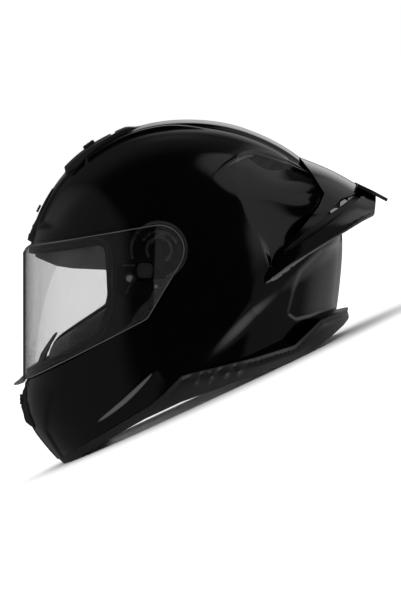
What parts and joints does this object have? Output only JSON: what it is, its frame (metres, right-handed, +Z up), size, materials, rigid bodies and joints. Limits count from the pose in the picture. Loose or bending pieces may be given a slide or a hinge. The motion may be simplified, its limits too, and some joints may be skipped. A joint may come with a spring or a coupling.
{
  "type": "motorcycle helmet",
  "caption": "Full-face motorcycle helmet with a clear swing-up visor, sliding air vents, padded lining, chin strap with D-rings and a rear wing spoiler.",
  "frame": {"origin": "under the middle of the helmet's bounding box, on the plane its lower rim stands on", "axes": "+Z up, -Y towards the face opening, +Y to the spoiler, +X to the wearer's left"},
  "size_m": [0.2524, 0.3977, 0.2644],
  "materials": {
    "gloss_black_shell": "deep gloss paint under clear coat",
    "satin_black_plastic": "satin moulded",
    "black_rubber": "soft matt",
    "bright_steel": "fine brushed",
    "clear_visor": "clear polished, hard coated",
    "black_foam": "beaded, matt",
    "dark_fabric": "soft knit over foam",
    "black_webbing": "tight weave"
  },
  "bodies": {
    "helmet": {"base_plate_left": "satin_black_plastic", "base_plate_right": "satin_black_plastic", "base_plate_screw_left": "bright_steel", "base_plate_screw_right": "bright_steel", "breath_deflector": "black_rubber", "brow_vent_housing": "gloss_black_shell", "cheek_eps_left": "black_foam", "cheek_eps_right": "black_foam", "cheek_pad_left": "dark_fabric", "cheek_pad_right": "dark_fabric", "chin_curtain": "dark_fabric", "chin_eps_liner": "black_foam", "chin_vent_housing": "satin_black_plastic", "chin_vent_mesh": "bright_steel", "crown_comfort_liner": "dark_fabric", "crown_eps_liner": "black_foam", "crown_vent_fairing": "gloss_black_shell", "exhaust_grille_left": "bright_steel", "exhaust_grille_right": "bright_steel", "eyeport_gasket": "black_rubber", "lower_edge_trim": "satin_black_plastic", "neck_roll": "dark_fabric", "outer_shell": "gloss_black_shell", "rear_spoiler": "gloss_black_shell", "spoiler_lip": "satin_black_plastic", "strap_anchor_left": "bright_steel", "strap_anchor_right": "bright_steel", "strap_left": "black_webbing", "strap_right": "black_webbing", "strap_snap": "bright_steel"},
    "visor": {"visor_hub_left": "satin_black_plastic", "visor_hub_right": "satin_black_plastic", "visor_shield": "clear_visor", "visor_stud_left": "bright_steel", "visor_stud_right": "bright_steel"},
    "release_lever_left": {"release_lever_left": "satin_black_plastic"},
    "release_lever_right": {"release_lever_right": "satin_black_plastic"},
    "crown_vent_slider": {"crown_vent_slider": "satin_black_plastic"},
    "brow_vent_slider": {"brow_vent_slider": "satin_black_plastic"},
    "chin_vent_shutter": {"chin_vent_shutter": "satin_black_plastic"},
    "d_ring_inner": {"d_ring_inner": "bright_steel"},
    "d_ring_outer": {"d_ring_outer": "bright_steel"}
  },
  "joints": [
    {"name": "visor_hinge", "type": "hinge", "parent": "helmet", "child": "visor", "pos_m": [0, -0.0176, 0.14707], "axis": [-1, 0, 0], "range_deg": [0, 52]},
    {"name": "release_lever_left_slide", "type": "slide", "parent": "helmet", "child": "release_lever_left", "axis": [0, -0.4201, -0.9075], "range_m": [0, 0.004], "stiffness_N_per_m": 300},
    {"name": "release_lever_right_slide", "type": "slide", "parent": "helmet", "child": "release_lever_right", "axis": [0, -0.4201, -0.9075], "range_m": [0, 0.004], "stiffness_N_per_m": 300},
    {"name": "crown_vent_slide", "type": "slide", "parent": "helmet", "child": "crown_vent_slider", "axis": [0, 0.9827, 0.1853], "range_m": [0, 0.006]},
    {"name": "brow_vent_slide", "type": "slide", "parent": "helmet", "child": "brow_vent_slider", "axis": [0, 0.7754, 0.6315], "range_m": [0, 0.004]},
    {"name": "chin_vent_slide", "type": "slide", "parent": "helmet", "child": "chin_vent_shutter", "axis": [0, -0.4201, -0.9075], "range_m": [0, 0.005]},
    {"name": "d_ring_inner_swing", "type": "hinge", "parent": "helmet", "child": "d_ring_inner", "pos_m": [0.0481, -0.02, 0.028], "axis": [0, 1, 0], "range_deg": [0, 60]},
    {"name": "d_ring_outer_swing", "type": "hinge", "parent": "helmet", "child": "d_ring_outer", "pos_m": [0.0531, -0.02, 0.028], "axis": [0, 1, 0], "range_deg": [-15, 0]}
  ]
}
